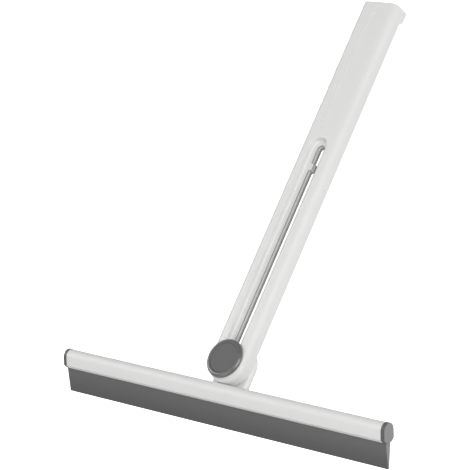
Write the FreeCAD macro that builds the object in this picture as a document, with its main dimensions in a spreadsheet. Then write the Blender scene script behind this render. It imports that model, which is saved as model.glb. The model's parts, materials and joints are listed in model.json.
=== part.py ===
import FreeCAD, Part
import math
import os
import Sketcher

# Window cleaning squeegee: a flat slotted handle, a blade head that swivels under its round
# end on a capped pivot, and a tapered rubber blade.
#
# Frames, all in millimetres:
# - handle frame: +X to the right along the head, +Y from the pivot up the handle, +Z out of the
#   handle's front face; its origin is on the pivot axis, in the plane of that face.
# - head frame: the handle frame tipped back about X by head_tilt, with its origin on the axis of
#   the holder's round top; +Y points away from the blade and +Z out of the head's front.
# - row frame: the part lying on its back on the floor at Z = 0. It rests on the blade's edge and
#   on the lip at the end of the handle, so the handle leans by lie_angle.

DIMENSIONS = (
    # alias, value, what it is
    ("head_length", 241.2, "over both end caps"),
    ("handle_reach", 238.3, "pivot axis to the end of the handle"),
    ("handle_width", 26.0, "across the handle and its round end"),
    ("handle_depth", 9.6, "front face to back edge"),
    ("handle_wall", 2.2, "front and side walls"),
    ("side_radius", 4.4, "rounding of the front along both sides"),
    ("rib_thickness", 1.4, "stiffening ribs inside the grip"),
    ("rib_pitch", 12.5, "from rib to rib"),
    ("lip_length", 6.4, "flat of the hanging lip, along the handle"),
    ("lip_depth", 12.25, "front face to the end edge of the lip"),
    ("lip_slope", 2.9, "run of the slope that leads up to the lip"),
    ("channel_width", 11.8, "sunk channel around the slot"),
    ("channel_depth", 4.1, "front face to channel floor"),
    ("channel_reach", 139.0, "pivot axis to the centre of the channel's and slot's round ends"),
    ("channel_edge", 1.1, "rounding of the channel's rim"),
    ("channel_root", 0.6, "rounding at the foot of the channel's walls"),
    ("channel_floor", 2.25, "channel floor"),
    ("seal_width", 0.35, "dark seal let into the slot's front edge"),
    ("seal_depth", 0.75, "that seal, along the slot's wall"),
    ("track_width", 3.5, "track behind the channel floor, beside the slot"),
    ("track_thickness", 1.9, "that track"),
    ("stop_start", 124.6, "pivot axis to the lower side of the stop in the slot"),
    ("stop_end", 129.7, "pivot axis to the stop's upper side"),
    ("stop_height", 2.1, "how far the stop stands out of the slot's left wall"),
    ("stop_radius", 0.7, "rounding of the stop's corners"),
    ("groove_width", 5.0, "shallow sunk panel above the slot"),
    ("groove_depth", 0.3, "sunk panel's depth"),
    ("groove_start", 153.0, "pivot axis to the panel's lower centre"),
    ("groove_margin", 10.0, "panel's upper centre to the end of the handle"),
    ("groove_shift", -0.4, "panel centre, right of the slot's centre"),
    ("fit_gap", 0.05, "running clearance, on the radius"),
    ("seat_gap", 0.1, "clearance between pieces that sit together"),
    ("cap_diameter", 23.9, "pivot cap"),
    ("cap_height", 2.2, "cap's underside to its crest"),
    ("cap_shoulder", 2.0, "rounding from the cap's rim up to its crest"),
    ("cap_crest", 0.4, "width of the crest"),
    ("cap_dish_slope", 0.6, "width of the slope from the crest down to the cap's flat"),
    ("cap_dish", 0.6, "crest to the cap's flat"),
    ("guide_gap", 0.2, "disc under the cap to the foot of the channel's walls"),
    ("stem_diameter", 4.7, "pivot stem under the cap"),
    ("glide_thickness", 0.2, "glide ring under the cap"),
    ("friction_diameter", 11.4, "friction ring"),
    ("lug_gap", 1.2, "back edge of the handle to the swivel lug"),
    ("lug_thickness", 4.2, "swivel lug"),
    ("lug_front_radius", 2.6, "rounding of the lug's front edge"),
    ("lug_back_radius", 1.4, "rounding of the lug's back edge"),
    ("bore_recess_diameter", 10.4, "recess for the pivot screw in the lug's back"),
    ("bore_recess_depth", 2.7, "depth of that recess"),
    ("washer_thickness", 0.6, "flat washer"),
    ("spring_height", 0.6, "spring washer as fitted"),
    ("screw_head_diameter", 5.6, "pivot screw head"),
    ("screw_head_height", 1.2, "pivot screw head"),
    ("screw_diameter", 2.2, "pivot screw thread"),
    ("head_tilt", 39.0, "blade leans back from the handle, degrees"),
    ("holder_thickness", 8.4, "blade holder, front to back"),
    ("holder_height", 11.1, "blade holder, round top to lips"),
    ("holder_set", 5.4, "front face of the handle to the axis of the holder's round top"),
    ("holder_gap", 0.3, "round end of the handle to the holder"),
    ("holder_wall", 1.7, "blade holder"),
    ("holder_edge", 1.9, "bevel beside the lips"),
    ("lip_height", 1.4, "lips that grip the blade"),
    ("cap_plate", 2.5, "end cap plate"),
    ("cap_round", 0.4, "rounding of the end cap's outer edge"),
    ("cap_margin", 0.15, "end cap stands proud of the holder"),
    ("plug_length", 7.0, "end cap plug"),
    ("blade_inset", 0.8, "end of the rubber to the end cap's outer face"),
    ("blade_exposed", 15.0, "rubber below the lips"),
    ("blade_root", 3.9, "rubber thickness at the lips"),
    ("blade_tip", 0.9, "rubber thickness at the wiping edge"),
    ("blade_neck", 2.4, "rubber thickness between the lips"),
    ("bead_gap", 0.3, "rubber bead to the walls of the holder's cavity"),
    ("bead_height", 2.4, "rubber bead inside the holder"),
    ("neck_screw_spacing", 15.0, "between the two neck screws"),
    ("neck_screw_drop", 3.7, "below the holder's top axis"),
    ("neck_screw_diameter", 2.2, "neck screw thread"),
    ("neck_screw_head", 4.2, "neck screw head diameter"),
    ("neck_head_height", 1.3, "neck screw head"),
    ("neck_web", 1.9, "lug under the neck screw heads"),
)

# Sizes worked out from the driving ones.
DERIVED = (
    ("half_width", "=handle_width / 2"),
    ("slot_width", "=stem_diameter + 2 * fit_gap"),
    ("groove_end", "=handle_reach - groove_margin"),
    ("cap_radius", "=cap_diameter / 2"),
    ("cap_guide_radius", "=channel_width / 2 - channel_root - guide_gap"),
    ("stem_pilot", "=screw_diameter + 2 * fit_gap"),
    ("trough_half", "=channel_width / 2 + handle_wall"),
    ("rib_count", "=floor((handle_reach - lip_length - lip_slope - channel_reach - trough_half)"
     " / rib_pitch)"),
    ("floor_back", "=channel_depth + channel_floor"),
    ("track_half", "=slot_width / 2 + track_width"),
    ("track_front", "=floor_back + seat_gap"),
    ("track_back", "=track_front + track_thickness"),
    ("cap_base", "=glide_thickness + 2 * fit_gap"),
    ("lug_front", "=handle_depth + lug_gap"),
    ("lug_back", "=lug_front + lug_thickness"),
    ("recess_floor", "=lug_back - bore_recess_depth"),
    ("stem_end", "=recess_floor - seat_gap"),
    ("holder_half", "=holder_thickness / 2"),
    ("holder_drop", "=half_width + holder_gap + holder_half"),
    ("lips_at", "=holder_height - holder_half"),
    ("cavity_half", "=holder_half - holder_wall"),
    ("bead_width", "=2 * (cavity_half - bead_gap)"),
    ("holder_length", "=head_length - 2 * cap_plate"),
    ("blade_length", "=head_length - 2 * blade_inset"),
    ("bead_top", "=lips_at - lip_height - seat_gap - bead_height"),
    ("edge_at", "=lips_at + blade_exposed"),
    ("tilt_cos", "=cos(head_tilt * 1deg)"),
    ("tilt_sin", "=sin(head_tilt * 1deg)"),
    # back and front corners of the blade's edge, in the handle frame
    ("heel_y", "=-holder_drop - edge_at * tilt_cos + blade_tip / 2 * tilt_sin"),
    ("heel_z", "=-holder_set - edge_at * tilt_sin - blade_tip / 2 * tilt_cos"),
    ("toe_y", "=-holder_drop - edge_at * tilt_cos - blade_tip / 2 * tilt_sin"),
    ("toe_z", "=-holder_set - edge_at * tilt_sin + blade_tip / 2 * tilt_cos"),
    # the lean that lays both the blade's heel and the lip on the floor
    ("lie_slope", "=(-lip_depth - heel_z) / (handle_reach - heel_y)"),
    ("lie_cos", "=1 / sqrt(1 + lie_slope * lie_slope)"),
    ("lie_sin", "=lie_slope * lie_cos"),
    ("far_end", "=handle_reach * lie_cos"),
    ("near_end", "=toe_y * lie_cos + toe_z * lie_sin"),
    ("pivot_y", "=-(far_end + near_end) / 2"),
    ("pivot_z", "=heel_y * lie_sin - heel_z * lie_cos"),
    ("head_y", "=pivot_y - holder_drop * lie_cos - holder_set * lie_sin"),
    ("head_z", "=pivot_z + holder_drop * lie_sin - holder_set * lie_cos"),
)

doc = FreeCAD.newDocument("squeegee")
sheet = doc.addObject("Spreadsheet::Sheet", "dims")


def fill_sheet():
    """Writes every driving size and every worked-out size into the sheet under its alias."""
    row = 1
    for alias, value, note in DIMENSIONS:
        sheet.set("A%d" % row, str(value))
        sheet.setAlias("A%d" % row, alias)
        sheet.set("B%d" % row, note)
        row += 1
    for alias, formula in DERIVED:
        sheet.set("A%d" % row, formula)
        sheet.setAlias("A%d" % row, alias)
        row += 1
    doc.recompute()


def named(text):
    """Puts the sheet's name before each alias in an expression."""
    words = []
    word = ""
    for letter in text + " ":
        if letter.isalnum() or letter == "_":
            word += letter
            continue
        words.append("dims." + word if word in ALIASES else word)
        words.append(letter)
        word = ""
    return "".join(words).strip()


def value(text):
    """The number that an expression of sheet aliases gives."""
    return float(sheet.evalExpression(named(text)))


ALIASES = {entry[0] for entry in DIMENSIONS} | {entry[0] for entry in DERIVED}
fill_sheet()
LIE_ANGLE = "-atan(lie_slope) / 1deg"


# ---- placing and sketching ---------------------------------------------------------------------

def lay(piece, in_head=False):
    """Lays a piece in the row frame, from the handle frame or from the head frame."""
    angle = LIE_ANGLE + " + head_tilt" if in_head else LIE_ANGLE
    home = ("head_y", "head_z") if in_head else ("pivot_y", "pivot_z")
    piece.Placement = FreeCAD.Placement(FreeCAD.Vector(0, value(home[0]), value(home[1])),
                                        FreeCAD.Rotation(FreeCAD.Vector(1, 0, 0), value(angle)))
    piece.setExpression("Placement.Base.y", named(home[0]))
    piece.setExpression("Placement.Base.z", named(home[1]))
    piece.setExpression("Placement.Rotation.Angle", named(angle))


def new_body(label, in_head=False):
    """A body with its own label, laid in the row frame."""
    body = doc.addObject("PartDesign::Body", label)
    body.Label = label
    lay(body, in_head)
    return body


def plane_of(body, role):
    return [item for item in body.Origin.OriginFeatures if item.Role == role][0]


def new_sketch(body, name, role, lift="0", turn=None, across="0", along="0"):
    """A sketch on one of the body's own planes, lifted off it and turned about X if asked."""
    sketch = body.newObject("Sketcher::SketchObject", name)
    sketch.AttachmentSupport = [(plane_of(body, role), "")]
    sketch.MapMode = "FlatFace"
    places = {"x": across, "y": along, "z": lift}
    axis = FreeCAD.Vector(1, 0, 0) if role == "XY_Plane" else FreeCAD.Vector(0, 0, 1)
    start = FreeCAD.Vector(value(across), value(along), value(lift))
    sketch.AttachmentOffset = FreeCAD.Placement(
        start, FreeCAD.Rotation(axis, value(turn) if turn else 0.0))
    for letter, text in places.items():
        sketch.setExpression("AttachmentOffset.Base." + letter, named(text))
    if turn:
        sketch.setExpression("AttachmentOffset.Rotation.Angle", named(turn))
    return sketch


def bind(sketch, constraint, text):
    """Adds one constraint and ties it to the sheet."""
    index = sketch.addConstraint(Sketcher.Constraint(*constraint, value(text)))
    sketch.setExpression("Constraints[%d]" % index, named(text))


def fix_along(sketch, element, vertex, kind, text):
    """Holds a sketch point at a distance from the sketch's origin, along one of its axes."""
    if abs(value(text)) < 1e-9:
        axis = -2 if kind == "DistanceX" else -1
        sketch.addConstraint(Sketcher.Constraint("PointOnObject", element, vertex, axis))
    else:
        bind(sketch, (kind, -1, 1, element, vertex), text)


def fix_point(sketch, element, vertex, across, up):
    """Holds a sketch point at the place that two expressions give."""
    fix_along(sketch, element, vertex, "DistanceX", across)
    fix_along(sketch, element, vertex, "DistanceY", up)


def draw_circle(sketch, across, up, radius):
    centre = FreeCAD.Vector(value(across), value(up), 0)
    index = sketch.addGeometry(Part.Circle(centre, FreeCAD.Vector(0, 0, 1), value(radius)), False)
    fix_point(sketch, index, 3, across, up)
    bind(sketch, ("Radius", index), radius)


def draw_outline(sketch, corners):
    """A closed outline through its corners, each (x, y). A corner that ends in "round" starts a
    half circle that bulges to the right of the way the outline runs."""
    first = sketch.GeometryCount
    count = len(corners)
    spots = [FreeCAD.Vector(value(corner[0]), value(corner[1]), 0) for corner in corners]
    for place, corner in enumerate(corners):
        start, end = spots[place], spots[(place + 1) % count]
        if len(corner) == 2:
            sketch.addGeometry(Part.LineSegment(start, end), False)
            continue
        chord = (end - start) * 0.5
        middle = start + chord + FreeCAD.Vector(chord.y, -chord.x, 0)
        sketch.addGeometry(Part.Arc(start, middle, end), False)
    for place, corner in enumerate(corners):
        here, after = first + place, first + (place + 1) % count
        joint = spots[(place + 1) % count]
        ends = [end_vertex(sketch, here, joint), end_vertex(sketch, after, joint)]
        sketch.addConstraint(Sketcher.Constraint("Coincident", here, ends[0], after, ends[1]))
        fix_point(sketch, after, ends[1], *corners[(place + 1) % count][:2])
        if len(corner) == 3:
            chord = joint - spots[place]
            upright = abs(chord.y) > abs(chord.x)
            fix_along(sketch, here, 3, "DistanceX" if upright else "DistanceY",
                      corner[0] if upright else corner[1])


def end_vertex(sketch, element, spot):
    """Which end of a line or an arc, 1 or 2, lies at a spot."""
    gaps = [(sketch.getPoint(element, end) - spot).Length for end in (1, 2)]
    return 1 if gaps[0] < gaps[1] else 2


def draw_capsule(sketch, across, low, high, radius):
    """Two straight sides and two round ends, upright in the sketch. Its sides touch the ends."""
    first = sketch.GeometryCount
    x, y0, y1, r = (value(text) for text in (across, low, high, radius))
    up = FreeCAD.Vector(0, 0, 1)
    half = math.pi
    sketch.addGeometry(Part.ArcOfCircle(Part.Circle(FreeCAD.Vector(x, y1, 0), up, r), 0, half), False)
    sketch.addGeometry(Part.ArcOfCircle(Part.Circle(FreeCAD.Vector(x, y0, 0), up, r), half, 2 * half),
                       False)
    for side, start, end in ((-1, y1, y0), (1, y0, y1)):
        sketch.addGeometry(Part.LineSegment(FreeCAD.Vector(x + side * r, start, 0),
                                            FreeCAD.Vector(x + side * r, end, 0)), False)
    top, bottom, left, right = range(first, first + 4)
    for one, one_end, other, other_end in ((top, 2, left, 1), (left, 2, bottom, 1),
                                           (bottom, 2, right, 1), (right, 2, top, 1)):
        sketch.addConstraint(Sketcher.Constraint("Tangent", one, one_end, other, other_end))
    fix_point(sketch, top, 3, across, high)
    fix_point(sketch, bottom, 3, across, low)
    sketch.addConstraint(Sketcher.Constraint("Equal", top, bottom))
    bind(sketch, ("Radius", top), radius)


def extrude(body, kind, sketch, length, reverse=False, middle=False):
    """A Pad or a Pocket of a sketch. A Pocket cuts towards -normal unless it is reversed."""
    before = body.Tip.Shape.Volume if kind == "Pocket" else 0.0
    feature = body.newObject("PartDesign::" + kind, sketch.Name + "_" + kind.lower())
    feature.Profile = sketch
    feature.Length = value(length)
    feature.setExpression("Length", named(length))
    feature.Reversed = reverse
    feature.Midplane = middle
    doc.recompute()
    if kind == "Pocket" and not feature.Shape.Volume < before - 1e-6:
        raise ValueError(feature.Name + " cuts nothing")
    sketch.Visibility = False
    return feature


def soften(body, radius, wanted, kind="Fillet"):
    """Rounds or bevels the edges of the body's tip that a test picks, in the body's own frame."""
    base = body.Tip
    names = ["Edge%d" % (place + 1) for place, edge in enumerate(base.Shape.Edges) if wanted(edge)]
    if not names:
        raise ValueError(body.Label + ": no edge to soften")
    feature = body.newObject("PartDesign::" + kind, body.Label + "_" + kind.lower())
    feature.Base = (base, names)
    size = "Radius" if kind == "Fillet" else "Size"
    setattr(feature, size, value(radius))
    feature.setExpression(size, named(radius))
    doc.recompute()
    return feature


def flat_at(height, reach=None):
    """A test for edges that lie in the plane Z = height, within a reach of the pivot's line."""
    def test(edge):
        box = edge.BoundBox
        level = abs(box.ZMin - height) < 1e-4 and abs(box.ZMax - height) < 1e-4
        return level and (reach is None or max(abs(box.XMin), abs(box.XMax)) < reach)
    return test


def turned(name, outline, in_head=False):
    """A round piece about Z: its half-section, as (radius, height) corners, turned full circle."""
    body = new_body(name, in_head)
    sketch = new_sketch(body, name + "_section", "XZ_Plane")
    draw_outline(sketch, outline)
    feature = body.newObject("PartDesign::Revolution", name + "_turn")
    feature.Profile = sketch
    feature.ReferenceAxis = (sketch, ["V_Axis"])
    feature.Angle = 360.0
    doc.recompute()
    sketch.Visibility = False
    return body


# ---- handle ------------------------------------------------------------------------------------

def draw_bar(sketch, half, end):
    """The handle's outline: a round end about the pivot, straight sides, a square far end."""
    draw_outline(sketch, (("-(%s)" % half, "0", "round"), (half, "0"), (half, end),
                          ("-(%s)" % half, end)))


def slot_outline(grow="0"):
    """The slot's outline, grown all round: round ends, and a stop that stands out of the left
    wall below the hanging pocket."""
    half = "(slot_width / 2 + %s)" % grow
    tip = "stop_height - " + half
    low, high = "stop_start + " + grow, "stop_end - (%s)" % grow
    return (("-" + half, "0", "round"), (half, "0"), (half, "channel_reach", "round"),
            ("-" + half, "channel_reach"), ("-" + half, high), (tip, high), (tip, low),
            ("-" + half, low))


def cut_slot(body, name, lift, depth, grow="0"):
    """Cuts the slot's outline, grown all round, back from a depth."""
    plan = new_sketch(body, body.Label + "_" + name, "XY_Plane", lift)
    draw_outline(plan, slot_outline(grow))
    extrude(body, "Pocket", plan, depth)


def stop_corner(edge):
    """A test for the upright edges at the corners of the slot's stop."""
    box = edge.BoundBox
    upright = box.XLength + box.YLength < 1e-4
    return upright and value("stop_start") - 1 < box.YMin < value("stop_end") + 1


def make_handle():
    body = new_body("handle_shell")
    outline = new_sketch(body, "outline", "XY_Plane")
    draw_bar(outline, "half_width", "handle_reach")
    extrude(body, "Pad", outline, "handle_depth", reverse=True)
    end = value("handle_reach")
    soften(body, "side_radius",
           lambda edge: flat_at(0.0)(edge) and not edge.BoundBox.YMin > end - 1e-4)

    lip = new_sketch(body, "lip", "YZ_Plane")
    draw_outline(lip, (
        ("handle_reach", "-handle_depth + handle_wall"),
        ("handle_reach", "-lip_depth"),
        ("handle_reach - lip_length", "-lip_depth - lip_length * lie_slope"),
        ("handle_reach - lip_length - lip_slope", "-handle_depth"),
        ("handle_reach - lip_length - lip_slope", "-handle_depth + handle_wall")))
    extrude(body, "Pad", lip, "handle_width", middle=True)

    hollow = new_sketch(body, "hollow", "XY_Plane", "-handle_wall")
    draw_bar(hollow, "half_width - handle_wall", "handle_reach - lip_length - lip_slope / 2")
    extrude(body, "Pocket", hollow, "lip_depth * 2")
    soften(body, "side_radius / 2", flat_at(-value("handle_wall")))

    trough = new_sketch(body, "trough", "XY_Plane", "-handle_wall / 2")
    draw_capsule(trough, "0", "0", "channel_reach", "trough_half")
    extrude(body, "Pad", trough, "track_back - seat_gap - handle_wall / 2", reverse=True)
    seat = new_sketch(body, "track_seat", "XY_Plane", "-floor_back")
    draw_capsule(seat, "0", "0", "channel_reach", "track_half + seat_gap")
    extrude(body, "Pocket", seat, "track_thickness * 2")

    channel = new_sketch(body, "channel", "XY_Plane")
    draw_capsule(channel, "0", "0", "channel_reach", "channel_width / 2")
    extrude(body, "Pocket", channel, "channel_depth")
    reach = value("channel_width") / 2 + 1e-3
    soften(body, "channel_root", flat_at(-value("channel_depth"), reach))
    soften(body, "channel_edge", flat_at(0.0, reach))
    cut_slot(body, "seal_seat", "-channel_depth", "seal_depth + seat_gap / 2",
             "seal_width + seat_gap / 2")
    cut_slot(body, "slot", "-channel_depth", "channel_floor * 2")
    soften(body, "stop_radius", stop_corner)

    panel = new_sketch(body, "panel", "XY_Plane")
    draw_capsule(panel, "groove_shift", "groove_start", "groove_end", "groove_width / 2")
    extrude(body, "Pocket", panel, "groove_depth")
    soften(body, "groove_depth * 0.9", flat_at(-value("groove_depth")))

    rib = new_sketch(body, "rib", "XY_Plane", "-handle_wall / 2")
    low = "channel_reach + trough_half + rib_pitch / 2"
    side = "(half_width - handle_wall / 2)"
    draw_outline(rib, (("-" + side, low), (side, low), (side, low + " + rib_thickness"),
                       ("-" + side, low + " + rib_thickness")))
    first = extrude(body, "Pad", rib, "track_back - handle_wall / 2", reverse=True)
    row = body.newObject("PartDesign::LinearPattern", "ribs")
    row.Originals = [first]
    row.Direction = (plane_of(body, "Y_Axis"), [""])
    row.Length = value("rib_pitch * (rib_count - 1)")
    row.setExpression("Length", named("rib_pitch * (rib_count - 1)"))
    row.Occurrences = int(value("rib_count"))
    row.setExpression("Occurrences", named("rib_count"))
    body.Tip = row
    doc.recompute()

    spine = new_sketch(body, "spine", "XY_Plane", "-handle_wall / 2")
    half = "rib_thickness / 2"
    draw_outline(spine, (
        ("-" + half, "channel_reach + trough_half - handle_wall / 2"),
        (half, "channel_reach + trough_half - handle_wall / 2"),
        (half, "handle_reach - lip_length"), ("-" + half, "handle_reach - lip_length")))
    extrude(body, "Pad", spine, "track_back - handle_wall / 2", reverse=True)
    return body


def make_slot_seal():
    """The thin dark frame let into the front edge of the slot."""
    body = new_body("slot_seal")
    frame = new_sketch(body, "seal_frame", "XY_Plane", "-(channel_depth + fit_gap)")
    draw_outline(frame, slot_outline("seal_width"))
    extrude(body, "Pad", frame, "seal_depth - fit_gap", reverse=True)
    cut_slot(body, "opening", "-channel_depth", "seal_depth * 2")
    soften(body, "stop_radius", stop_corner)
    return body


def make_slide_track():
    """The dark plate behind the channel floor that the friction ring bears on."""
    body = new_body("slide_track")
    plate = new_sketch(body, "track_plate", "XY_Plane", "-track_front")
    draw_capsule(plate, "0", "0", "channel_reach", "track_half")
    extrude(body, "Pad", plate, "track_thickness", reverse=True)
    cut_slot(body, "opening", "-track_front", "track_thickness * 2")
    soften(body, "stop_radius", stop_corner)
    return body


# ---- pivot -------------------------------------------------------------------------------------

def make_pivot_cap():
    """The round cap with the disc that runs in the channel and the stem that the head turns on."""
    crest = "cap_base + cap_height"
    inner = "cap_radius - cap_shoulder - cap_crest"
    body = turned("pivot_cap", (
        ("0", "-(channel_depth + seat_gap)"),
        ("0", crest + " - cap_dish"),
        (inner + " - cap_dish_slope", crest + " - cap_dish"),
        (inner, crest),
        ("cap_radius", crest),
        ("cap_radius", "cap_base"),
        ("cap_guide_radius", "cap_base"),
        ("cap_guide_radius", "-(channel_depth - seat_gap)"),
        ("stem_diameter / 2", "-(channel_depth - seat_gap)"),
        ("stem_diameter / 2", "-stem_end"),
        ("stem_pilot / 2", "-stem_end"),
        ("stem_pilot / 2", "-(channel_depth + seat_gap)")))
    top, wide = value(crest), value("cap_diameter")
    soften(body, "cap_shoulder",
           lambda edge: flat_at(top)(edge) and abs(edge.BoundBox.XLength - wide) < 1e-3)
    return body


def ring(name, inner, outer, top, bottom):
    """A flat ring between two depths behind the handle's front face."""
    return turned(name, ((inner, "-(%s)" % bottom), (outer, "-(%s)" % bottom),
                         (outer, "-(%s)" % top), (inner, "-(%s)" % top)))


def make_glide_ring():
    return ring("glide_ring", "channel_width / 2 + channel_edge", "cap_radius - cap_shoulder",
                "-(glide_thickness + fit_gap)", "-fit_gap")


def make_friction_ring():
    return ring("friction_ring", "stem_diameter / 2 + seat_gap", "friction_diameter / 2",
                "track_back + fit_gap", "lug_front - seat_gap")


def make_spring_washer():
    """A cupped washer that keeps the pivot tight. Its rim lies on the recess floor."""
    inner, outer, sheet_metal = "screw_diameter / 2 + seat_gap", "bore_recess_diameter * 0.42", "0.3"
    rim = "-(recess_floor + seat_gap / 2)"
    crown = "-(recess_floor + spring_height)"
    return turned("spring_washer", (
        (outer, rim), (outer, rim + " - " + sheet_metal), (inner, crown),
        (inner, crown + " + " + sheet_metal)))


def make_flat_washer():
    return ring("flat_washer", "screw_diameter / 2 + seat_gap", "bore_recess_diameter * 0.44",
                "recess_floor + spring_height + seat_gap / 2",
                "recess_floor + spring_height + seat_gap / 2 + washer_thickness")


def cut_cross(body, lift, reach, depth, across="0", up="0"):
    """A cross-shaped driver recess, cut into a screw head that faces -Z."""
    arm = reach + " / 5"
    for name, wide, tall in (("bar", reach, arm), ("post", arm, reach)):
        sketch = new_sketch(body, body.Label + "_" + name, "XY_Plane", lift)
        x0, x1 = "%s - %s / 2" % (across, wide), "%s + %s / 2" % (across, wide)
        y0, y1 = "%s - %s / 2" % (up, tall), "%s + %s / 2" % (up, tall)
        draw_outline(sketch, ((x0, y0), (x1, y0), (x1, y1), (x0, y1)))
        extrude(body, "Pocket", sketch, depth, reverse=True)


def make_pivot_screw():
    head = "recess_floor + spring_height + seat_gap + washer_thickness"
    body = turned("pivot_screw", (
        ("0", "-(%s + screw_head_height)" % head),
        ("screw_head_diameter * 0.3", "-(%s + screw_head_height)" % head),
        ("screw_head_diameter / 2", "-(%s + screw_head_height / 2)" % head),
        ("screw_head_diameter / 2", "-(%s)" % head),
        ("screw_diameter / 2", "-(%s)" % head),
        ("screw_diameter / 2", "-(channel_depth + 2)"),
        ("0", "-(channel_depth + 1)")))
    cut_cross(body, "-(%s + screw_head_height)" % head, "screw_head_diameter * 0.5",
              "screw_head_height * 0.6")
    return body


def make_swivel_lug():
    """The disc behind the handle's round end, with the neck that carries the blade holder."""
    body = new_body("swivel_lug")
    face = new_sketch(body, "lug_face", "XY_Plane", "-lug_front")
    foot = "-(holder_drop + holder_height)"
    draw_outline(face, (("half_width", "0", "round"), ("-half_width", "0"),
                        ("-half_width", foot), ("half_width", foot)))
    extrude(body, "Pad", face, "lug_thickness", reverse=True)
    bottom = value(foot)
    above = lambda edge: not edge.BoundBox.YMax < bottom + 1e-4
    soften(body, "lug_front_radius",
           lambda edge: flat_at(-value("lug_front"))(edge) and above(edge))
    soften(body, "lug_back_radius",
           lambda edge: flat_at(-value("lug_back"))(edge) and above(edge))

    bore = new_sketch(body, "bore", "XY_Plane", "-lug_front")
    draw_circle(bore, "0", "0", "stem_diameter / 2 + fit_gap")
    extrude(body, "Pocket", bore, "lug_thickness * 3")
    recess = new_sketch(body, "recess", "XY_Plane", "-lug_back")
    draw_circle(recess, "0", "0", "bore_recess_diameter / 2")
    extrude(body, "Pocket", recess, "bore_recess_depth", reverse=True)

    # the foot is cut to the holder's back and to its lips, in the head frame
    saddle = new_sketch(body, "saddle", "YZ_Plane", "0", "head_tilt", "-holder_drop", "-holder_set")
    back = "-(holder_half + seat_gap / 2)"
    far = "3 * holder_height"
    draw_outline(saddle, (
        ("-lips_at", "-(%s)" % far), ("-lips_at", back), ("holder_height", back),
        ("holder_height", far), ("-(%s)" % far, far), ("-(%s)" % far, "-(%s)" % far)))
    extrude(body, "Pocket", saddle, "handle_width * 2", middle=True)

    for name, radius, start in (("screw_way", "neck_screw_diameter / 2 + seat_gap", "0"),
                                ("head_way", "neck_screw_head / 2 + seat_gap", "neck_web")):
        holes = new_sketch(body, name, "XY_Plane",
                           "-holder_set - (holder_half + %s) * tilt_cos" % start, "head_tilt",
                           along="-holder_drop + (holder_half + %s) * tilt_sin" % start)
        for side in ("-", ""):
            draw_circle(holes, side + "neck_screw_spacing / 2", "-neck_screw_drop", radius)
        extrude(body, "Pocket", holes, "lug_thickness * 3")
    return body


# ---- head --------------------------------------------------------------------------------------

def holder_outline(margin="0"):
    """The holder's outer section, as (up, front) corners: a round top and bevelled lips."""
    half = "holder_half + " + margin
    low = "-(lips_at + %s)" % margin
    return [("0", "-(%s)" % half, "round"), ("0", half), (low + " + holder_edge", half),
            (low, half + " - holder_edge"), (low, "-(%s - holder_edge)" % half),
            (low + " + holder_edge", "-(%s)" % half)]


def make_blade_holder():
    """A straight hollow section with a slit between two lips for the blade."""
    body = new_body("blade_holder", in_head=True)
    outer = new_sketch(body, "holder_section", "YZ_Plane")
    draw_outline(outer, holder_outline())
    extrude(body, "Pad", outer, "holder_length", middle=True)
    inner = new_sketch(body, "holder_cavity", "YZ_Plane")
    half, slit = "cavity_half", "blade_neck / 2 + seat_gap"
    floor = "-(lips_at - lip_height)"
    draw_outline(inner, (
        ("0", "-" + half, "round"), ("0", half), (floor, half), (floor, slit),
        ("-(lips_at + 1)", slit), ("-(lips_at + 1)", "-(%s)" % slit), (floor, "-(%s)" % slit),
        (floor, "-" + half)))
    extrude(body, "Pocket", inner, "head_length * 2", middle=True)
    holes = new_sketch(body, "holder_screw_holes", "XY_Plane", "-cavity_half + 0.5")
    for side in ("-", ""):
        draw_circle(holes, side + "neck_screw_spacing / 2", "-neck_screw_drop",
                    "neck_screw_diameter / 2")
    extrude(body, "Pocket", holes, "holder_half")
    return body


def make_rubber_blade():
    """The tapered wiping blade, and the neck and bead that the holder's lips keep in."""
    body = new_body("rubber_blade", in_head=True)
    wedge = new_sketch(body, "blade_section", "YZ_Plane")
    top = "-(lips_at + seat_gap / 2)"
    draw_outline(wedge, ((top, "-blade_root / 2"), (top, "blade_root / 2"),
                         ("-edge_at", "blade_tip / 2"), ("-edge_at", "-blade_tip / 2")))
    extrude(body, "Pad", wedge, "blade_length", middle=True)
    bead = new_sketch(body, "bead_section", "YZ_Plane")
    low = "-(bead_top + bead_height)"
    draw_outline(bead, (
        ("-(lips_at + 1)", "-blade_neck / 2"), (low, "-blade_neck / 2"), (low, "-bead_width / 2"),
        ("-bead_top", "-bead_width / 2"), ("-bead_top", "bead_width / 2"), (low, "bead_width / 2"),
        (low, "blade_neck / 2"), ("-(lips_at + 1)", "blade_neck / 2")))
    extrude(body, "Pad", bead, "holder_length - 2 * seat_gap", middle=True)
    return body


def make_end_cap(name, side):
    """One end cap: a plate with the holder's outline, bevelled outside, and a plug behind it."""
    body = new_body(name, in_head=True)
    inside = "holder_length / 2 + seat_gap / 2"
    inward = side > 0
    lift = inside if inward else "-(%s)" % inside
    plate = new_sketch(body, name + "_plate", "YZ_Plane", lift)
    outline = holder_outline("cap_margin")
    lips = "-lips_at"
    outline[2:6] = [(lips + " + holder_edge", outline[1][1]),
                    (lips, outline[1][1] + " - holder_edge - cap_margin"),
                    (lips, "-(%s - holder_edge - cap_margin)" % outline[1][1]),
                    (lips + " + holder_edge", "-(%s)" % outline[1][1])]
    draw_outline(plate, outline)
    extrude(body, "Pad", plate, "cap_plate - seat_gap / 2", reverse=not inward)
    end = side * value("head_length") / 2
    soften(body, "cap_round",
           lambda edge: abs(edge.BoundBox.XMin - end) < 1e-4 and abs(edge.BoundBox.XMax - end) < 1e-4)
    plug = new_sketch(body, name + "_plug", "YZ_Plane", lift)
    half = "(cavity_half - seat_gap)"
    low = "-(bead_top - 2 * seat_gap)"
    draw_outline(plug, (("0", "-" + half, "round"), ("0", half), (low, half), (low, "-" + half)))
    extrude(body, "Pad", plug, "plug_length", reverse=inward)
    return body


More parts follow.
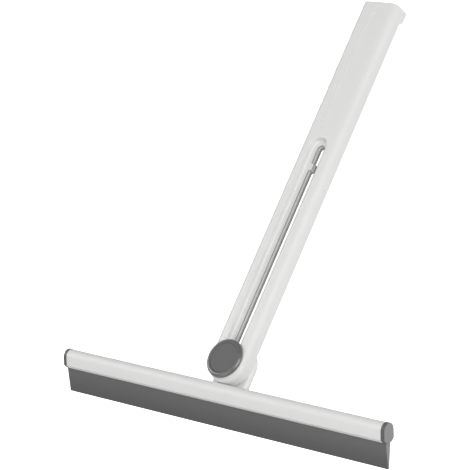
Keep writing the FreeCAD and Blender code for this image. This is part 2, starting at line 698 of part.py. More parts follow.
def make_neck_screw(name, side):
    """One of the two screws that hold the lug's foot to the holder, `side` being "-" or ""."""
    body = new_body(name, in_head=True)
    across = side + "neck_screw_spacing / 2"
    seat = "-(holder_half + neck_web + seat_gap / 2)"
    shank = new_sketch(body, name + "_shank", "XY_Plane", "-(cavity_half + seat_gap / 2)")
    draw_circle(shank, across, "-neck_screw_drop", "neck_screw_diameter / 2 - fit_gap")
    extrude(body, "Pad", shank, "holder_wall + neck_web + neck_head_height / 2", reverse=True)
    head = new_sketch(body, name + "_head", "XY_Plane", seat)
    draw_circle(head, across, "-neck_screw_drop", "neck_screw_head / 2")
    extrude(body, "Pad", head, "neck_head_height", reverse=True)
    cut_cross(body, seat + " - neck_head_height", "neck_screw_head * 0.5",
              "neck_head_height * 0.55", across, "-neck_screw_drop")
    return body


# ---- build and export --------------------------------------------------------------------------

def export(pieces):
    """Checks every object and writes each piece to its own STEP file."""
    doc.recompute()
    for item in doc.Objects:
        if "Invalid" in item.State or "Error" in item.State:
            raise ValueError(item.Name + " is " + str(item.State))
    os.makedirs("parts", exist_ok=True)
    for piece in pieces:
        shape = piece.Shape
        if shape.isNull() or not shape.isValid():
            raise ValueError(piece.Label + " has no valid shape")
        shape.exportStep("parts/" + piece.Label + ".step")
        print(piece.Label, len(shape.Solids), "solid", round(shape.Volume, 1), "mm3")


export([
    make_handle(),
    make_slot_seal(),
    make_slide_track(),
    make_pivot_cap(),
    make_glide_ring(),
    make_friction_ring(),
    make_spring_washer(),
    make_flat_washer(),
    make_pivot_screw(),
    make_swivel_lug(),
    make_blade_holder(),
    make_rubber_blade(),
    make_end_cap("end_cap_left", -1),
    make_end_cap("end_cap_right", 1),
    make_neck_screw("neck_screw_left", "-"),
    make_neck_screw("neck_screw_right", ""),
])
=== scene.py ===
import json
import math

import bmesh
import bpy
import numpy as np
from mathutils import Matrix, Vector


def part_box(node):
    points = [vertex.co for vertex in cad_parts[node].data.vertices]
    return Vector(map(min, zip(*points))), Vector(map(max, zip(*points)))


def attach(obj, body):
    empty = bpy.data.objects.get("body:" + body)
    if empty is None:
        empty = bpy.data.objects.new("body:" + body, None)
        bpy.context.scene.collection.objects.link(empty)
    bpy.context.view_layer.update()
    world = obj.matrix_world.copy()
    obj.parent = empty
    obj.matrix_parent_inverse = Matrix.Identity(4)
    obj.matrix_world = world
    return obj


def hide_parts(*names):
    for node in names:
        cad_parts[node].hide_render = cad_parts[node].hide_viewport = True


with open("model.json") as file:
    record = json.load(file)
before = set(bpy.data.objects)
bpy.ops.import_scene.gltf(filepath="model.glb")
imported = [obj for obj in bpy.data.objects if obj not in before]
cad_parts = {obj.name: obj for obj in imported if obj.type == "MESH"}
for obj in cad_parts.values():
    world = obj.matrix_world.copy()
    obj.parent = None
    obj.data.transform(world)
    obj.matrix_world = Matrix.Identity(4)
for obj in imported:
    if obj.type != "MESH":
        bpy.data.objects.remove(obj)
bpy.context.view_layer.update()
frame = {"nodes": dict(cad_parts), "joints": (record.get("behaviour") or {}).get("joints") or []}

bl_info = {
    "name": "Window cleaning squeegee",
    "version": (1, 0, 0),
    "blender": (4, 5, 0),
    "location": "View3D > Sidebar > Squeegee",
    "description": "Dresses the packed squeegee with finished surfaces and materials",
    "category": "Object",
}

MM = 0.001

# the head turns about an axis square to the handle's front face, which leans from upright
SWIVEL = frame["joints"][0]
PIVOT = Vector(SWIVEL["pos_m"])
LEAN = math.atan2(SWIVEL["axis"][1], SWIVEL["axis"][2])


def span(node):
    """Lowest and highest X of a CAD node."""
    low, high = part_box(node)
    return low[0], high[0]


HOLDER_SPAN = span("blade_holder")
BLADE_SPAN = span("rubber_blade")
CAP_SPAN = span("end_cap_right")

# name, azimuth from +X and height above the floor (degrees), distance and side (m), power (W)
SOFTBOXES = (
    ("right", 0.0, 38.0, 2.0, 1.2, 27.0),
    ("left", 180.0, 38.0, 2.0, 1.2, 18.0),
    ("near", 270.0, 38.0, 2.0, 1.2, 8.0),
    ("overhead", 0.0, 90.0, 2.0, 1.6, 4.0),
)

# the camera's right and up directions and its place (m), in the handle frame
CAMERA_RIGHT = Vector((0.75575, 0.38575, -0.52918))
CAMERA_UP = Vector((-0.12988, 0.88034, 0.45622))
CAMERA_PLACE = Vector((0.77794, -0.27277, 0.90199))


# ---- settings ----------------------------------------------------------------------------------

def length(name, description, default):
    return bpy.props.FloatProperty(name=name, description=description, default=default,
                                   unit="LENGTH", subtype="DISTANCE", precision=5)


def colour(name, description, default):
    return bpy.props.FloatVectorProperty(name=name, description=description, default=default,
                                         subtype="COLOR", size=3, min=0.0, max=1.0)


def share(name, description, default):
    return bpy.props.FloatProperty(name=name, description=description, default=default,
                                   min=0.0, max=1.0, subtype="FACTOR")


class SqueegeeSizes(bpy.types.PropertyGroup):
    """Where the head stands against the handle, and the sections of its long pieces."""
    head_tilt: bpy.props.FloatProperty(
        name="Head tilt", description="Blade leans back from the handle",
        default=math.radians(39.0), subtype="ANGLE")
    holder_drop: length("Holder drop", "Pivot axis to the holder's round top, along the handle",
                        17.5 * MM)
    holder_set: length("Holder set", "Front face to the holder's round top axis", 5.4 * MM)
    holder_half: length("Holder half", "Half of the holder, front to back", 4.2 * MM)
    holder_wall: length("Holder wall", "Thickness of the holder's walls", 1.7 * MM)
    holder_edge: length("Holder edge", "Bevel beside the lips", 1.9 * MM)
    corner: length("Corners", "Rounding of the holder's outer corners", 0.45 * MM)
    lips_at: length("Lips", "Round top's axis to the lips", 6.9 * MM)
    lip_height: length("Lip height", "Lips that grip the blade", 1.4 * MM)
    lip_round: length("Lip round", "Rounding of the lips' edges", 0.15 * MM)
    slit_half: length("Slit half", "Half of the slit between the lips", 1.3 * MM)
    cap_gap: length("Cap gap", "End of the holder to the end cap's plate", 0.05 * MM)
    cap_margin: length("Cap margin", "End cap stands proud of the holder", 0.15 * MM)
    cap_round: length("Cap round", "Rounding of the end cap's outer edge", 0.4 * MM)
    plug_half: length("Plug half", "Half of the end cap's plug, front to back", 2.4 * MM)
    plug_low: length("Plug low", "Round top's axis to the plug's lower face", 2.8 * MM)
    plug_bevel: length("Plug bevel", "Bevel along the plug's lower edges", 0.2 * MM)
    plug_round: length("Plug round", "Rounding of that bevel's corners", 0.05 * MM)
    plug_lead: length("Plug lead", "Length of the taper at the plug's tip", 0.4 * MM)
    plug_tip: share("Plug tip", "The plug's tip against its full section", 0.94)
    blade_top: length("Blade top", "Round top's axis to the shoulders of the rubber", 6.95 * MM)
    blade_edge: length("Blade edge", "Round top's axis to the wiping edge", 21.9 * MM)
    blade_root: length("Blade root", "Rubber thickness at the lips", 3.9 * MM)
    blade_tip: length("Blade tip", "Rubber thickness at the wiping edge", 0.9 * MM)
    root_round: length("Root round", "Rounding of the rubber's shoulders", 0.35 * MM)
    tip_round: length("Tip round", "Rounding of the wiping edge's corners", 0.12 * MM)
    cut_lead: length("Cut lead", "Length over which the rubber's cut ends draw in", 0.15 * MM)
    cut_share: share("Cut share", "The rubber's cut end against its full section", 0.985)
    neck: length("Neck", "Rubber thickness between the lips", 2.4 * MM)
    neck_sunk: length("Neck sunk", "The neck starts this far inside the wedge", 0.15 * MM)
    bead_half: length("Bead half", "Half of the rubber bead's width", 2.2 * MM)
    bead_top: length("Bead top", "Round top's axis to the top of the bead", 3.0 * MM)
    bead_low: length("Bead low", "Round top's axis to the foot of the bead", 5.4 * MM)
    bead_round: length("Bead round", "Rounding of the bead's top", 0.6 * MM)
    bead_fine: length("Bead fine", "Rounding of the bead's foot", 0.15 * MM)
    bead_short: length("Bead short", "The bead ends this far inside the holder", 0.1 * MM)


class SqueegeePivot(bpy.types.PropertyGroup):
    """Section of the pivot cap, its guide disc and its stem, from the handle's front face."""
    radius: length("Radius", "Pivot cap's outer radius", 11.95 * MM)
    base: length("Base", "Front face to the cap's underside", 0.3 * MM)
    crest: length("Crest", "Front face to the cap's crest", 2.5 * MM)
    shoulder: length("Shoulder", "Rounding from the rim up to the crest", 2.0 * MM)
    land: length("Land", "Width of the crest", 0.4 * MM)
    slope: length("Slope", "Width of the step down to the flat", 0.6 * MM)
    dish: length("Dish", "Crest to the cap's flat", 0.6 * MM)
    dish_round: length("Dish round", "Rounding of the step's two corners", 0.2 * MM)
    guide: length("Guide", "Radius of the disc that runs in the channel", 5.1 * MM)
    foot: length("Foot", "Front face to the guide disc's underside", 4.0 * MM)
    stem: length("Stem", "Radius of the pivot stem", 2.35 * MM)
    stem_end: length("Stem end", "Front face to the end of the stem", 12.2 * MM)
    pilot: length("Pilot", "Radius of the screw's hole in the stem", 1.15 * MM)
    pilot_end: length("Pilot end", "Front face to the bottom of that hole", 4.2 * MM)
    fine_round: length("Fine round", "Rounding of the hidden edges", 0.1 * MM)
    polish_fade: length("Polish fade", "Width over which the rim's polish comes in", 0.3 * MM)


class SqueegeeFinish(bpy.types.PropertyGroup):
    """Colours and sheen of the materials."""
    white: colour("White plastic", "Handle, lug and holder", (0.83, 0.83, 0.822))
    grey: colour("Grey plastic", "End caps", (0.13, 0.13, 0.132))
    cap_grey: colour("Cap grey", "Pivot cap", (0.138, 0.138, 0.140))
    # painted shade: the slot's seal and track are dark grey to give the lines of shadow down the
    # slot
    slot_grey: colour("Slot grey", "Slot seal and slide track", (0.42, 0.42, 0.42))
    # painted light: the faces that look along the blade are made lighter for the light that falls
    # on them
    lit_end: colour("Lit ends", "Cut ends of the rubber and faces of the end caps",
                      (0.27, 0.27, 0.272))
    rubber: colour("Rubber", "Wiping blade", (0.125, 0.125, 0.126))
    nylon: colour("Nylon", "Glide and friction rings", (0.60, 0.59, 0.56))
    steel: colour("Steel", "Screws and washers", (0.58, 0.58, 0.59))
    white_roughness: share("White sheen", "Roughness of the white plastic", 0.42)
    holder_roughness: share("Holder sheen", "Roughness of the blade holder", 0.5)
    grey_roughness: share("Grey sheen", "Roughness of the grey plastic", 0.40)
    cap_roughness: share("Cap sheen", "Roughness of the pivot cap's flat", 0.6)
    rubber_roughness: share("Rubber sheen", "Roughness of the rubber", 0.55)
    cut_roughness: share("Cut sheen", "Roughness of the rubber's cut ends", 0.8)
    end_roughness: share("End sheen", "Roughness of the end caps' faces", 0.7)
    nylon_roughness: share("Nylon sheen", "Roughness of the nylon", 0.45)
    steel_roughness: share("Steel sheen", "Roughness of the steel", 0.32)


class SqueegeeStage(bpy.types.PropertyGroup):
    """Floor, light and camera."""
    floor_size: length("Floor size", "Side of the square floor", 8.0)
    floor_colour: colour("Floor colour", "Pale floor", (0.93, 0.93, 0.93))
    floor_glow: share("Floor glow", "White that the camera sees over the floor", 1.0)
    sky: share("Sky", "Strength of the even light from all round", 0.06)
    lens_mm: bpy.props.FloatProperty(name="Lens", description="Focal length on a 36 mm sensor",
                                     default=164.68)


SETTINGS = {
    "squeegee_sizes": SqueegeeSizes,
    "squeegee_pivot": SqueegeePivot,
    "squeegee_finish": SqueegeeFinish,
    "squeegee_stage": SqueegeeStage,
}


# ---- frames ------------------------------------------------------------------------------------

def handle_matrix():
    """Handle frame to row frame: origin on the pivot in the front face, Y up the handle."""
    return Matrix.Translation(PIVOT) @ Matrix.Rotation(-LEAN, 4, "X")


def head_matrix(sizes):
    """Head frame to row frame: origin on the axis of the holder's round top, Y away from the
    blade, Z out of the head's front."""
    place = Matrix.Translation(Vector((0.0, -sizes.holder_drop, -sizes.holder_set)))
    return handle_matrix() @ place @ Matrix.Rotation(sizes.head_tilt, 4, "X")


def carried(points, matrix):
    """Points, with x, y and z along the array's last axis, taken through a matrix."""
    turn = np.array(matrix.to_3x3())
    return points @ turn.T + np.array(matrix.translation)


# ---- surfaces ----------------------------------------------------------------------------------

def rounded(outline, steps=8):
    """The points of a closed outline, given as corners with three numbers each: two coordinates
    and a rounding. Each corner becomes an arc of steps + 1 points. The turn at a corner is the
    angle between its two sides. Its arc starts radius times the tangent of half the turn before
    the corner, and sweeps the turn round a centre one radius in from both sides."""
    outline = np.array(outline, dtype=float)
    corners, radii = outline[:, :2], outline[:, 2:]
    before = corners - np.roll(corners, 1, axis=0)
    after = np.roll(corners, -1, axis=0) - corners
    before /= np.linalg.norm(before, axis=1, keepdims=True)
    after /= np.linalg.norm(after, axis=1, keepdims=True)
    crossed = before[:, 0] * after[:, 1] - before[:, 1] * after[:, 0]
    turn = np.arctan2(crossed, np.sum(before * after, axis=1))[:, None]
    inward = np.stack((-before[:, 1], before[:, 0]), axis=1) * np.sign(turn)
    start = corners - before * radii * np.tan(np.abs(turn) / 2)
    centre = start + inward * radii
    sweep = turn * np.linspace(0.0, 1.0, steps + 1)[None, :]
    spoke = (-inward * radii)[:, None, :]
    arcs = np.stack((spoke[..., 0] * np.cos(sweep) - spoke[..., 1] * np.sin(sweep),
                     spoke[..., 0] * np.sin(sweep) + spoke[..., 1] * np.cos(sweep)), axis=-1)
    return (centre[:, None, :] + arcs).reshape(-1, 2)


def both_sides(front):
    """A rounded section of (up, front) points, from the (up, front, rounding) corners of its
    front half. The back half is the front half's mirror image."""
    back = [(up, -out, rounding) for up, out, rounding in reversed(front)]
    return rounded(front + back)


def drawn(section, stations):
    """A section of (up, front) points carried along X, as a grid of rings. Each station is an x
    and the share of its size that the section has there, measured from its own middle."""
    x, scale = np.array(stations, dtype=float).T
    middle = (section.max(axis=0) + section.min(axis=0)) / 2
    sized = middle + (section - middle)[None] * scale[:, None, None]
    along = np.broadcast_to(x[:, None, None], (len(x), len(section), 1))
    return np.concatenate((along, sized), axis=2)


def revolved(profile, count=128):
    """A profile of (radius, height) points turned about Z, as a grid with one ring for each of
    its points: x and y are the radius times the cosine and sine of the angle."""
    radius, height = profile.T
    angle = np.linspace(0.0, 2 * math.pi, count, endpoint=False)
    return np.stack((radius[:, None] * np.cos(angle), radius[:, None] * np.sin(angle),
                     np.broadcast_to(height[:, None], (len(height), count))), axis=-1)


def closed_mesh(name, *shells, tolerance=0.002 * MM, crease=math.radians(32.0)):
    """A mesh of closed shells, each an (m, n, 3) grid of rings. Quads join neighbours on a ring to
    the same two on the next, and one face closes the first ring and one the last. Points that
    coincide are merged, and faces are turned outwards. Edges steeper than the crease look
    sharp."""
    points, faces, start = [], [], 0
    for rings in shells:
        index = start + np.arange(rings.shape[0] * rings.shape[1]).reshape(rings.shape[:2])
        ahead = np.roll(index, -1, axis=1)
        quads = np.stack((index[:-1], ahead[:-1], ahead[1:], index[1:]), axis=-1)
        faces += quads.reshape(-1, 4).tolist() + [index[0].tolist(), index[-1].tolist()]
        points.append(rings.reshape(-1, 3))
        start += index.size
    mesh = bpy.data.meshes.new(name)
    mesh.from_pydata(np.concatenate(points), [], faces)
    work = bmesh.new()
    work.from_mesh(mesh)
    bmesh.ops.remove_doubles(work, verts=work.verts, dist=tolerance)
    bmesh.ops.dissolve_degenerate(work, edges=work.edges, dist=tolerance)
    bmesh.ops.recalc_face_normals(work, faces=work.faces)
    work.to_mesh(mesh)
    work.free()
    mesh.shade_smooth()
    mesh.set_sharp_from_angle(angle=crease)
    return mesh


def head_piece(name, node, slot, mesh, *materials):
    """Puts a mesh in the scene as a piece of the head that stands for a CAD node."""
    for material in materials:
        mesh.materials.append(finish_of(material))
    piece = bpy.data.objects.new(name, mesh)
    bpy.context.scene.collection.objects.link(piece)
    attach(piece, "head")
    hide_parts(node)


def mark(mesh, name, values):
    """Stores one number for each point of a mesh, for its material to read."""
    layer = mesh.attributes.new(name, "FLOAT", "POINT")
    layer.data.foreach_set("value", values)


def points_of(mesh, matrix):
    """A mesh's points, as measured in the frame that the matrix places."""
    points = np.empty(len(mesh.vertices) * 3)
    mesh.vertices.foreach_get("co", points)
    return carried(points.reshape(-1, 3), matrix.inverted())


def cut_faces(mesh, least=0.9):
    """Gives the faces that look along X the mesh's second material."""
    normals = np.empty(len(mesh.polygons) * 3)
    mesh.polygons.foreach_get("normal", normals)
    ends = np.abs(normals.reshape(-1, 3)[:, 0]) > least
    mesh.polygons.foreach_set("material_index", ends.astype(np.int32))


def holder_front(sizes, margin=0.0):
    """Front half of the holder's outer section, from the bevel beside the lips to the top. The
    round top is one corner, rounded by half of the holder's thickness."""
    half, low = sizes.holder_half + margin, -sizes.lips_at
    return [(low, half - sizes.holder_edge - margin, sizes.corner),
            (low + sizes.holder_edge, half, sizes.corner), (half, half, half)]


# ---- materials ---------------------------------------------------------------------------------

def feed(tree, node, inputs):
    """Feeds a node's inputs, each from another node's output or with a plain value."""
    for name, value in inputs.items():
        if isinstance(value, bpy.types.NodeSocket):
            tree.links.new(value, node.inputs[name])
        else:
            node.inputs[name].default_value = value


def add_node(tree, kind, inputs, **settings):
    """Adds a node to a tree, with its settings and inputs."""
    node = tree.nodes.new(kind)
    for name, value in settings.items():
        setattr(node, name, value)
    feed(tree, node, inputs)
    return node


def maths(tree, operation, *values):
    """The output of a Math node that works on the values."""
    node = add_node(tree, "ShaderNodeMath", dict(enumerate(values)), operation=operation)
    return node.outputs[0]


def varied(tree, pattern, centre, amount):
    """Centre plus amount times how far a pattern, between 0 and 1, is from a half."""
    return maths(tree, "MULTIPLY_ADD", maths(tree, "SUBTRACT", pattern, 0.5), amount, centre)


def new_group(name, inputs, outputs):
    """An empty shader node group with named numbers in and out, its start node's outputs, and
    its end node."""
    group = bpy.data.node_groups.new(name, "ShaderNodeTree")
    for label, default in inputs.items():
        socket = group.interface.new_socket(label, in_out="INPUT", socket_type="NodeSocketFloat")
        socket.default_value = default
    for label in outputs:
        group.interface.new_socket(label, in_out="OUTPUT", socket_type="NodeSocketFloat")
    return group, group.nodes.new("NodeGroupInput").outputs, group.nodes.new("NodeGroupOutput")


def moulded_surface(name):
    """Moulded surface: a fine grain and a slow unevenness, as a shade to multiply the colour by,
    a roughness, and a height for a bump."""
    given = {"Grain per mm": 2.5, "Shade spread": 0.02, "Roughness": 0.4, "Spread": 0.06}
    group, start, end = new_group(name, given, ("Shade", "Roughness", "Height"))
    place = add_node(group, "ShaderNodeTexCoord", {}).outputs["Object"]
    per_metre = maths(group, "MULTIPLY", start["Grain per mm"], 1 / MM)
    grain = add_node(group, "ShaderNodeTexNoise",
                     {"Vector": place, "Scale": per_metre, "Detail": 3.0}).outputs["Fac"]
    slow = add_node(group, "ShaderNodeTexNoise",
                    {"Vector": place, "Scale": 45.0, "Detail": 2.0}).outputs["Fac"]
    feed(group, end, {"Shade": varied(group, slow, 1.0, start["Shade spread"]),
                      "Roughness": varied(group, slow, start["Roughness"], start["Spread"]),
                      "Height": grain})
    return group


def drawn_surface(name):
    """Drawn surface: faint lines along X, as left by a die, as a shade to multiply the colour by,
    a roughness, and a height for a bump."""
    given = {"Line shade": 0.03, "Roughness": 0.4, "Spread": 0.06}
    group, start, end = new_group(name, given, ("Shade", "Roughness", "Height"))
    place = add_node(group, "ShaderNodeTexCoord", {}).outputs["Object"]
    squeezed = add_node(group, "ShaderNodeMapping",
                        {"Vector": place, "Scale": (6.0, 900.0, 900.0)}).outputs["Vector"]
    lines = add_node(group, "ShaderNodeTexNoise",
                     {"Vector": squeezed, "Scale": 1.0, "Detail": 2.0}).outputs["Fac"]
    feed(group, end, {"Shade": varied(group, lines, 1.0, start["Line shade"]),
                      "Roughness": varied(group, lines, start["Roughness"], start["Spread"]),
                      "Height": lines})
    return group


def painted_edge_shade(name):
    """Painted edge shade: scales a shade from lighter at the blade's root to darker at its
    wiping edge, a painted shade for how light falls across the blade.
    """
    # painted shade: the shade is times 1.2 at the root of the blade, down to 0.8 at its wiping
    # edge
    given = {"Shade": 1.0, "At root": 1.2, "At edge": 0.8}
    group, start, end = new_group(name, given, ("Shade",))
    toward = add_node(group, "ShaderNodeAttribute", {}, attribute_name="toward_edge")
    level = add_node(group, "ShaderNodeMapRange",
                     {"Value": toward.outputs["Fac"], "To Min": start["At root"],
                      "To Max": start["At edge"]})
    feed(group, end, {"Shade": maths(group, "MULTIPLY", start["Shade"], level.outputs["Result"])})
    return group


def shared(tree, build, inputs):
    """The outputs of a node that uses one of the groups above. The group has its function's name
    and is built the first time it's asked for."""
    group = bpy.data.node_groups.get(build.__name__) or build(build.__name__)
    return add_node(tree, "ShaderNodeGroup", inputs, node_tree=group).outputs


def plastic(name, tint, roughness, grain=2.5, depth=0.004, metallic=0.0, gloss=0.5, lines=False,
            edge_shade=False, polished=False):
    """A material with the moulded surface, or the drawn one where lines is true, over one plain
    colour. Grain is per mm, depth is the bump's, in mm, and gloss is the specular level. A
    painted shade can darken it toward a wiping edge, and polished gives it a clear coat where
    the piece is marked as polished."""
    made = bpy.data.materials.new(name)
    made.use_nodes = True
    tree = made.node_tree
    if lines:
        surface = shared(tree, drawn_surface, {"Roughness": roughness})
    else:
        surface = shared(tree, moulded_surface, {"Roughness": roughness, "Grain per mm": grain})
    shade = surface["Shade"]
    # painted shade, darker toward the wiping edge
    if edge_shade:
        shade = shared(tree, painted_edge_shade, {"Shade": shade})["Shade"]
    tinted = add_node(tree, "ShaderNodeMix", {"Factor": 1.0, "A": (*tint, 1.0), "B": shade},
                      data_type="RGBA", blend_type="MULTIPLY")
    bump = add_node(tree, "ShaderNodeBump",
                    {"Strength": 0.25, "Distance": depth * MM, "Height": surface["Height"]})
    shader = tree.nodes["Principled BSDF"]
    feed(tree, shader, {"Metallic": metallic, "Specular IOR Level": gloss,
                        "Base Color": tinted.outputs["Result"],
                        "Roughness": surface["Roughness"], "Normal": bump.outputs["Normal"]})
    if polished:
        marked = add_node(tree, "ShaderNodeAttribute", {}, attribute_name="polished")
        feed(tree, shader, {"Coat Weight": marked.outputs["Fac"], "Coat Roughness": 0.3,
                            "Coat IOR": 1.8})
    return made


def finish_of(name):
    """The named material, made the first time it's asked for. None has a record slot's name,
    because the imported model's own plain materials are called after the slots."""
    finish = bpy.context.scene.squeegee_finish
    recipes = {
        "white_moulding": dict(tint=finish.white, roughness=finish.white_roughness),
        "white_holder": dict(tint=finish.white, roughness=finish.holder_roughness, lines=True),
        "grey_moulding": dict(tint=finish.grey, roughness=finish.grey_roughness),
        "cap_plastic": dict(tint=finish.cap_grey, roughness=finish.cap_roughness, grain=3.5,
                            gloss=0.35, polished=True),
        # painted shade: dark grey for the shadow lines down the slot
        "slot_shade_plastic": dict(tint=finish.slot_grey, roughness=finish.grey_roughness),
        # the rubber carries a painted shade, lighter at its root and darker toward its wiping edge
        "smooth_rubber": dict(tint=finish.rubber, roughness=finish.rubber_roughness, depth=0.01,
                              lines=True, edge_shade=True),
        # painted light: the rubber's cut ends and the end caps' faces take a lighter grey, as lit
        # faces
        "lit_cut_rubber": dict(tint=finish.lit_end, roughness=finish.cut_roughness, grain=6.0,
                           depth=0.02),
        "lit_end": dict(tint=finish.lit_end, roughness=finish.end_roughness, grain=5.0,
                          depth=0.01),
        "plain_nylon": dict(tint=finish.nylon, roughness=finish.nylon_roughness),
        "plated_steel": dict(tint=finish.steel, roughness=finish.steel_roughness, metallic=1.0),
    }
    return bpy.data.materials.get(name) or plastic(name, **recipes[name])


def dress(material, *nodes):
    """Gives the faces of CAD nodes one material."""
    for node in nodes:
        mesh = frame["nodes"][node].data
        mesh.materials.clear()
        mesh.materials.append(finish_of(material))


# ---- stage -------------------------------------------------------------------------------------

def lay_floor(stage):
    """A pale square floor. Only the camera sees its glow, so the light that the floor throws
    back on the part stays soft."""
    half = stage.floor_size / 2
    mesh = bpy.data.meshes.new("floor")
    mesh.from_pydata([(-half, -half, 0), (half, -half, 0), (half, half, 0), (-half, half, 0)],
                     [], [(0, 1, 2, 3)])
    paper = bpy.data.materials.new("floor_paper")
    paper.use_nodes = True
    tree = paper.node_tree
    to_camera = add_node(tree, "ShaderNodeLightPath", {}).outputs["Is Camera Ray"]
    feed(tree, tree.nodes["Principled BSDF"], {
        "Base Color": (*stage.floor_colour, 1.0), "Roughness": 0.9, "Specular IOR Level": 0.2,
        "Emission Color": (1.0, 1.0, 1.0, 1.0),
        "Emission Strength": maths(tree, "MULTIPLY", to_camera, stage.floor_glow)})
    mesh.materials.append(paper)
    floor = bpy.data.objects.new("floor", mesh)
    bpy.context.scene.collection.objects.link(floor)


def light_sky(stage):
    """Even white light from all round."""
    world = bpy.data.worlds.new("studio")
    world.use_nodes = True
    feed(world.node_tree, world.node_tree.nodes["Background"],
         {"Color": (1.0, 1.0, 1.0, 1.0), "Strength": stage.sky})
    bpy.context.scene.world = world


def hang_softbox(name, azimuth, height, distance, side, power):
    """A square soft light aimed at the origin, from an azimuth and a height in degrees."""
    lamp = bpy.data.lights.new(name, "AREA")
    lamp.size = side
    lamp.energy = power
    box = bpy.data.objects.new(name, lamp)
    bpy.context.scene.collection.objects.link(box)
    turn = Matrix.Rotation(math.radians(azimuth), 4, "Z")
    rise = Matrix.Rotation(math.radians(90.0 - height), 4, "Y")
    box.matrix_world = turn @ rise @ Matrix.Translation(Vector((0.0, 0.0, distance)))


def place_camera(stage):
    """The camera, whose back is its right crossed with its up."""
    optics = bpy.data.cameras.new("camera")
    optics.sensor_width = 36.0
    optics.lens = stage.lens_mm
    optics.clip_end = 100.0
    camera = bpy.data.objects.new("camera", optics)
    bpy.context.scene.collection.objects.link(camera)
    axes = (CAMERA_RIGHT, CAMERA_UP, CAMERA_RIGHT.cross(CAMERA_UP))
    pose = Matrix(axes).transposed().to_4x4()
    pose.translation = CAMERA_PLACE
    camera.matrix_world = handle_matrix() @ pose
    bpy.context.scene.camera = camera


# ---- operators ---------------------------------------------------------------------------------

class SQUEEGEE_OT_stage(bpy.types.Operator):
    """Makes the pale floor, the soft light and the camera."""
    bl_idname = "squeegee.stage"
    bl_label = "Stage"

    def execute(self, context):
        stage = context.scene.squeegee_stage
        lay_floor(stage)
        light_sky(stage)
        for softbox in SOFTBOXES:
            hang_softbox(*softbox)
        place_camera(stage)
        context.scene.view_settings.view_transform = "Standard"
        return {"FINISHED"}


class SQUEEGEE_OT_white_parts(bpy.types.Operator):
    """Finishes the white moulded parts."""
    bl_idname = "squeegee.white_parts"
    bl_label = "White parts"

    def execute(self, context):
        dress("white_moulding", "handle_shell", "swivel_lug")
        return {"FINISHED"}


class SQUEEGEE_OT_slot_parts(bpy.types.Operator):
    """Finishes the seal and the track of the slot in dark grey, a painted shade for the
    shadow lines down the slot's walls.
    """
    bl_idname = "squeegee.slot_parts"
    bl_label = "Slot parts"

    def execute(self, context):
        dress("slot_shade_plastic", "slot_seal", "slide_track")
        return {"FINISHED"}


class SQUEEGEE_OT_holder(bpy.types.Operator):
    """Makes the blade holder, a drawn white section with a round top and two lips."""
    bl_idname = "squeegee.holder"
    bl_label = "Blade holder"

    def execute(self, context):
        sizes = context.scene.squeegee_sizes
        cavity = sizes.holder_half - sizes.holder_wall
        low, floor = -sizes.lips_at, sizes.lip_height - sizes.lips_at
        fine = sizes.lip_round
        inner = [(cavity, cavity, cavity), (floor, cavity, 2 * fine),
                 (floor, sizes.slit_half, fine), (low, sizes.slit_half, fine)]
        section = both_sides(inner + holder_front(sizes))
        rings = drawn(section, [(x, 1.0) for x in HOLDER_SPAN])
        mesh = closed_mesh("holder_section", carried(rings, head_matrix(sizes)))
        head_piece("holder_section", "blade_holder", "white_plastic", mesh, "white_holder")
        return {"FINISHED"}


class SQUEEGEE_OT_blade(bpy.types.Operator):
    """Makes the rubber blade: a tapered wedge with cut ends, and its neck and bead."""
    bl_idname = "squeegee.blade"
    bl_label = "Rubber blade"

    def execute(self, context):
        sizes = context.scene.squeegee_sizes
        place = head_matrix(sizes)
        top, edge = -sizes.blade_top, -sizes.blade_edge
        wedge = both_sides([(edge, sizes.blade_tip / 2, sizes.tip_round),
                            (top, sizes.blade_root / 2, sizes.root_round)])
        left, right = BLADE_SPAN
        lead, cut = sizes.cut_lead, sizes.cut_share
        ends = ((left, cut), (left + lead, 1.0), (right - lead, 1.0), (right, cut))
        low, neck, fine = -sizes.bead_low, sizes.neck / 2, sizes.bead_fine
        bead = both_sides([(top - sizes.neck_sunk, neck, 0.0), (low, neck, fine),
                           (low, sizes.bead_half, fine),
                           (-sizes.bead_top, sizes.bead_half, sizes.bead_round)])
        left, right = HOLDER_SPAN
        held = ((left + sizes.bead_short, 1.0), (right - sizes.bead_short, 1.0))
        mesh = closed_mesh("wiping_blade", carried(drawn(wedge, ends), place),
                           carried(drawn(bead, held), place))
        # the cut ends take the second material, painted lighter as lit faces
        cut_faces(mesh)
        # how far each point lies from the rubber's shoulders to its wiping edge, which sets the
        # painted shade
        up = points_of(mesh, place)[:, 1]
        mark(mesh, "toward_edge", np.clip((up - top) / (edge - top), 0.0, 1.0))
        head_piece("wiping_blade", "rubber_blade", "blade_rubber", mesh, "smooth_rubber",
                   "lit_cut_rubber")
        return {"FINISHED"}


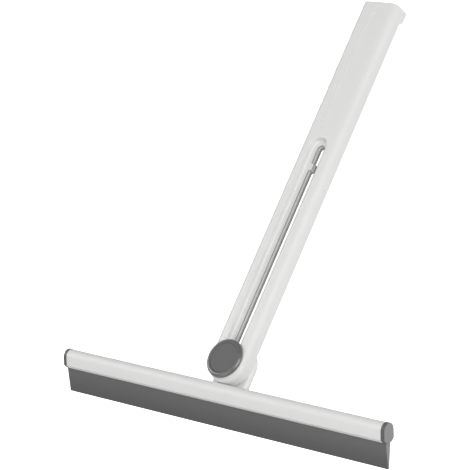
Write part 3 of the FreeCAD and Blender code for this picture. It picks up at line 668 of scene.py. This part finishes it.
class SQUEEGEE_OT_end_caps(bpy.types.Operator):
    """Makes the two grey end caps: a plate rounded outside, and a plug in the holder. The left
    one is the right one's mirror image."""
    bl_idname = "squeegee.end_caps"
    bl_label = "End caps"

    def execute(self, context):
        sizes = context.scene.squeegee_sizes
        half, low, bevel = sizes.plug_half, -sizes.plug_low, sizes.plug_bevel
        plug = both_sides([(low, half - bevel, sizes.plug_round),
                           (low + bevel, half, sizes.plug_round), (half, half, half)])
        plate = both_sides(holder_front(sizes, sizes.cap_margin))
        tip, outer = CAP_SPAN
        inner = HOLDER_SPAN[1] + sizes.cap_gap
        stem = ((tip, sizes.plug_tip), (tip + sizes.plug_lead, 1.0), (inner, 1.0))
        arc = np.linspace(0.0, math.pi / 2, 9)
        edge = np.stack((outer - sizes.cap_round * (1 - np.sin(arc)),
                         1 - sizes.cap_round * (1 - np.cos(arc)) / sizes.holder_half), axis=1)
        face = [(inner, 1.0)] + edge.tolist()
        right = np.concatenate((drawn(plug, stem), drawn(plate, face)))
        for side, name in ((1.0, "right"), (-1.0, "left")):
            rings = right * np.array((side, 1.0, 1.0))
            mesh = closed_mesh("end_moulding_" + name, carried(rings, head_matrix(sizes)))
            # the outer faces take the second material, painted lighter as lit faces
            cut_faces(mesh)
            head_piece("end_moulding_" + name, "end_cap_" + name, "grey_plastic", mesh,
                       "grey_moulding", "lit_end")
        return {"FINISHED"}


class SQUEEGEE_OT_pivot(bpy.types.Operator):
    """Makes the pivot cap with its guide disc and stem, turned about the pivot."""
    bl_idname = "squeegee.pivot"
    bl_label = "Pivot cap"

    def execute(self, context):
        pivot = context.scene.squeegee_pivot
        flat = pivot.crest - pivot.dish
        inner = pivot.radius - pivot.shoulder - pivot.land
        step, fine = pivot.dish_round, pivot.fine_round
        profile = rounded((
            (0.0, flat, 0.0), (inner - pivot.slope, flat, step), (inner, pivot.crest, step),
            (pivot.radius, pivot.crest, pivot.shoulder), (pivot.radius, pivot.base, fine),
            (pivot.guide, pivot.base, fine), (pivot.guide, -pivot.foot, fine),
            (pivot.stem, -pivot.foot, fine), (pivot.stem, -pivot.stem_end, fine),
            (pivot.pilot, -pivot.stem_end, fine), (pivot.pilot, -pivot.pilot_end, 0.0),
            (0.0, -pivot.pilot_end, 0.0)), steps=12)
        place = handle_matrix()
        mesh = closed_mesh("pivot_cover", carried(revolved(profile), place))
        across, along, height = points_of(mesh, place).T
        past = np.hypot(across, along) - (pivot.radius - pivot.shoulder)
        mark(mesh, "polished", np.clip(past / pivot.polish_fade, 0.0, 1.0) * (height > 0.0))
        head_piece("pivot_cover", "pivot_cap", "grey_plastic", mesh, "cap_plastic")
        return {"FINISHED"}


class SQUEEGEE_OT_fixings(bpy.types.Operator):
    """Finishes the rings, washers and screws."""
    bl_idname = "squeegee.fixings"
    bl_label = "Rings, washers and screws"

    def execute(self, context):
        dress("plain_nylon", "glide_ring", "friction_ring")
        dress("plated_steel", "pivot_screw", "spring_washer", "flat_washer", "neck_screw_left",
              "neck_screw_right")
        return {"FINISHED"}


OPERATORS = (SQUEEGEE_OT_stage, SQUEEGEE_OT_white_parts, SQUEEGEE_OT_slot_parts,
             SQUEEGEE_OT_holder, SQUEEGEE_OT_blade, SQUEEGEE_OT_end_caps, SQUEEGEE_OT_pivot,
             SQUEEGEE_OT_fixings)


class SQUEEGEE_PT_panel(bpy.types.Panel):
    """Lists the settings and the operators."""
    bl_idname = "SQUEEGEE_PT_panel"
    bl_label = "Squeegee"
    bl_space_type = "VIEW_3D"
    bl_region_type = "UI"
    bl_category = "Squeegee"

    def draw(self, context):
        for group, settings in SETTINGS.items():
            box = self.layout.box()
            for name in settings.__annotations__:
                box.prop(getattr(context.scene, group), name)
        for operator in OPERATORS:
            self.layout.operator(operator.bl_idname)


def register():
    for item in (*SETTINGS.values(), *OPERATORS, SQUEEGEE_PT_panel):
        bpy.utils.register_class(item)
    for group, settings in SETTINGS.items():
        setattr(bpy.types.Scene, group, bpy.props.PointerProperty(type=settings))


def unregister():
    for group in SETTINGS:
        delattr(bpy.types.Scene, group)
    for item in reversed((*SETTINGS.values(), *OPERATORS, SQUEEGEE_PT_panel)):
        bpy.utils.unregister_class(item)


def main():
    register()
    for operator in OPERATORS:
        family, name = operator.bl_idname.split(".")
        getattr(getattr(bpy.ops, family), name)()


if __name__ == "__main__":
    main()
